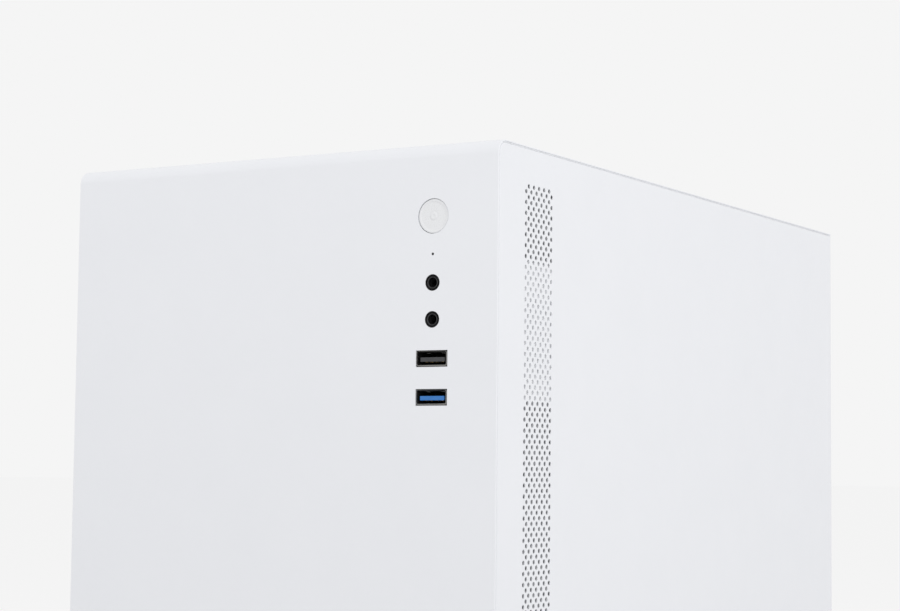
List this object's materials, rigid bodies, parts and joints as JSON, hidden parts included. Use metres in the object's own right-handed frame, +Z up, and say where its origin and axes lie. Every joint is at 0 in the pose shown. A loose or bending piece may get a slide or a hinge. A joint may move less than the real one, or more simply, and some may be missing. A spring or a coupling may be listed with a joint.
{
  "type": "desktop computer tower",
  "caption": "White mini tower with a bent front and top sheet, vented side panels, a round power button, audio jacks and USB ports, and its working parts inside.",
  "frame": {"origin": "centre of the footprint, at the bottom of the feet", "axes": "-Y is the front with the ports, +X is the right side panel, +Z is up"},
  "size_m": [0.2, 0.35, 0.37],
  "materials": {
    "white_enamel": "satin white powder coat",
    "white_plastic": "satin moulded",
    "button_white": "satin with fine turned rings",
    "chassis_steel": "satin light grey coat",
    "black_plastic": "fine texture",
    "dark_plastic": "fine texture",
    "blue_plastic": "smooth",
    "light_guide": "clear",
    "rubber_black": "matt",
    "plated_steel": "zinc plated",
    "nickel_shell": "nickel plated",
    "circuit_board": "solder mask",
    "green_board": "solder mask",
    "brass_part": "turned",
    "copper_pipe": "drawn tube",
    "aluminium_fin": "stamped",
    "cast_alloy": "cast",
    "psu_coat": "matt black coat",
    "fan_white": "translucent white",
    "cable_jacket": "extruded jacket"
  },
  "bodies": {
    "case": {"front_top_shell": "white_enamel", "base_plate": "chassis_steel", "rear_panel": "chassis_steel", "front_frame": "chassis_steel", "top_rails": "chassis_steel", "motherboard_tray": "chassis_steel", "panel_sockets": "dark_plastic", "feet": "rubber_black", "filter_rails": "dark_plastic", "case_screws": "plated_steel", "port_bracket": "white_plastic", "port_board": "green_board", "audio_jacks": "black_plastic", "jack_rings": "dark_plastic", "usb2_shell": "nickel_shell", "usb2_tongue": "black_plastic", "usb3_shell": "nickel_shell", "usb3_tongue": "blue_plastic", "light_pipe": "light_guide", "button_housing": "white_plastic", "power_switch": "black_plastic", "motherboard": "circuit_board", "board_standoffs": "brass_part", "cpu_socket": "nickel_shell", "memory_sockets": "black_plastic", "memory_modules": "dark_plastic", "expansion_sockets": "black_plastic", "rear_ports": "nickel_shell", "io_shield": "plated_steel", "board_heatsinks": "cast_alloy", "board_headers": "black_plastic", "cooler_base": "copper_pipe", "cooler_fins": "aluminium_fin", "cpu_fan_frame": "black_plastic", "psu_case": "psu_coat", "psu_cover": "psu_coat", "psu_fan_frame": "black_plastic", "psu_electronics": "green_board", "mains_inlet": "black_plastic", "graphics_board": "circuit_board", "graphics_heatsink": "aluminium_fin", "graphics_shroud": "black_plastic", "slot_brackets": "plated_steel", "case_fan_frames": "black_plastic", "drive_cage": "chassis_steel", "hard_drive": "cast_alloy", "solid_state_drive": "dark_plastic", "internal_cables": "cable_jacket"},
    "power_button": {"power_button": "button_white"},
    "right_panel": {"right_side_panel": "white_enamel", "right_panel_studs": "plated_steel"},
    "left_panel": {"left_side_panel": "white_enamel", "left_panel_studs": "plated_steel"},
    "front_fan": {"front_fan_rotor": "fan_white"},
    "rear_fan": {"rear_fan_rotor": "fan_white"},
    "cpu_fan": {"cpu_fan_rotor": "dark_plastic"},
    "psu_fan": {"psu_fan_rotor": "dark_plastic"},
    "graphics_fan": {"graphics_fan_rotor": "dark_plastic"},
    "mains_switch": {"psu_switch_rocker": "dark_plastic"},
    "dust_filter": {"dust_filter": "dark_plastic"}
  },
  "joints": [
    {"name": "power_button_press", "type": "slide", "parent": "case", "child": "power_button", "axis": [0, 1, 0], "range_m": [0, 0.0015], "stiffness_N_per_m": 900, "springref_m": -0.001},
    {"name": "right_panel_pull", "type": "slide", "parent": "case", "child": "right_panel", "axis": [1, 0, 0], "range_m": [0, 0.15]},
    {"name": "left_panel_pull", "type": "slide", "parent": "case", "child": "left_panel", "axis": [-1, 0, 0], "range_m": [0, 0.15]},
    {"name": "front_fan_spin", "type": "hinge", "parent": "case", "child": "front_fan", "pos_m": [-0.008, -0.1208, 0.096], "axis": [0, 1, 0], "continuous": true},
    {"name": "rear_fan_spin", "type": "hinge", "parent": "case", "child": "rear_fan", "pos_m": [-0.026, 0.1458, 0.294], "axis": [0, 1, 0], "continuous": true},
    {"name": "cpu_fan_spin", "type": "hinge", "parent": "case", "child": "cpu_fan", "pos_m": [-0.004, 0.035, 0.285], "axis": [0, 1, 0], "continuous": true},
    {"name": "psu_fan_spin", "type": "hinge", "parent": "case", "child": "psu_fan", "pos_m": [0.003, 0.0998, 0.0162], "axis": [0, 0, 1], "continuous": true},
    {"name": "graphics_fan_spin", "type": "hinge", "parent": "case", "child": "graphics_fan", "pos_m": [0.012, 0.084, 0.14396], "axis": [0, 0, 1], "continuous": true},
    {"name": "mains_switch_tip", "type": "hinge", "parent": "case", "child": "mains_switch", "pos_m": [-0.02, 0.1678, 0.0712], "axis": [-1, 0, 0], "range_deg": [0, 16]},
    {"name": "dust_filter_slide", "type": "slide", "parent": "case", "child": "dust_filter", "axis": [0, 1, 0], "range_m": [0, 0.15]}
  ]
}
